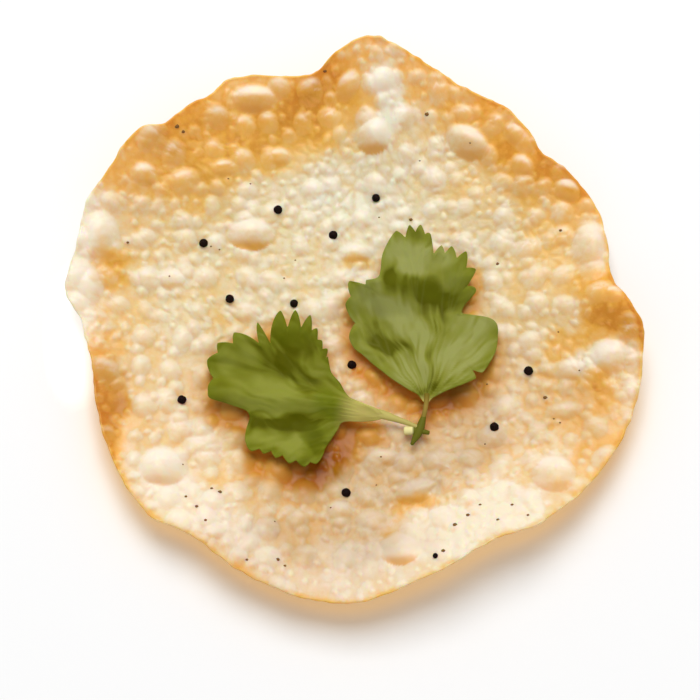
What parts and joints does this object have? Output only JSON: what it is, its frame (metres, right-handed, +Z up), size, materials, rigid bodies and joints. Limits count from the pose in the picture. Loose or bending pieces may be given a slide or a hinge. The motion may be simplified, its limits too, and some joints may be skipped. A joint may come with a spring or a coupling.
{
  "type": "papadum",
  "caption": "Thin fried lentil crisp, shallowly dished with a wavy browned rim, blisters and black seeds, a coriander sprig resting on it.",
  "frame": {"origin": "on the table under the middle of the bread, at the bottom centre of its box", "axes": "+Z up, away from the table; +Y towards the bread's far side, where the raised lobe of the rim is; +X to the right"},
  "size_m": [0.142, 0.1429, 0.017],
  "materials": {
    "fried_bread": "satin, slightly oily and translucent",
    "black_seed": "satin",
    "coriander_leaf": "satin",
    "coriander_stalk": "satin"
  },
  "bodies": {
    "root": {"papadum": "fried_bread", "coriander_sprig": "coriander_leaf"}
  },
  "joints": []
}
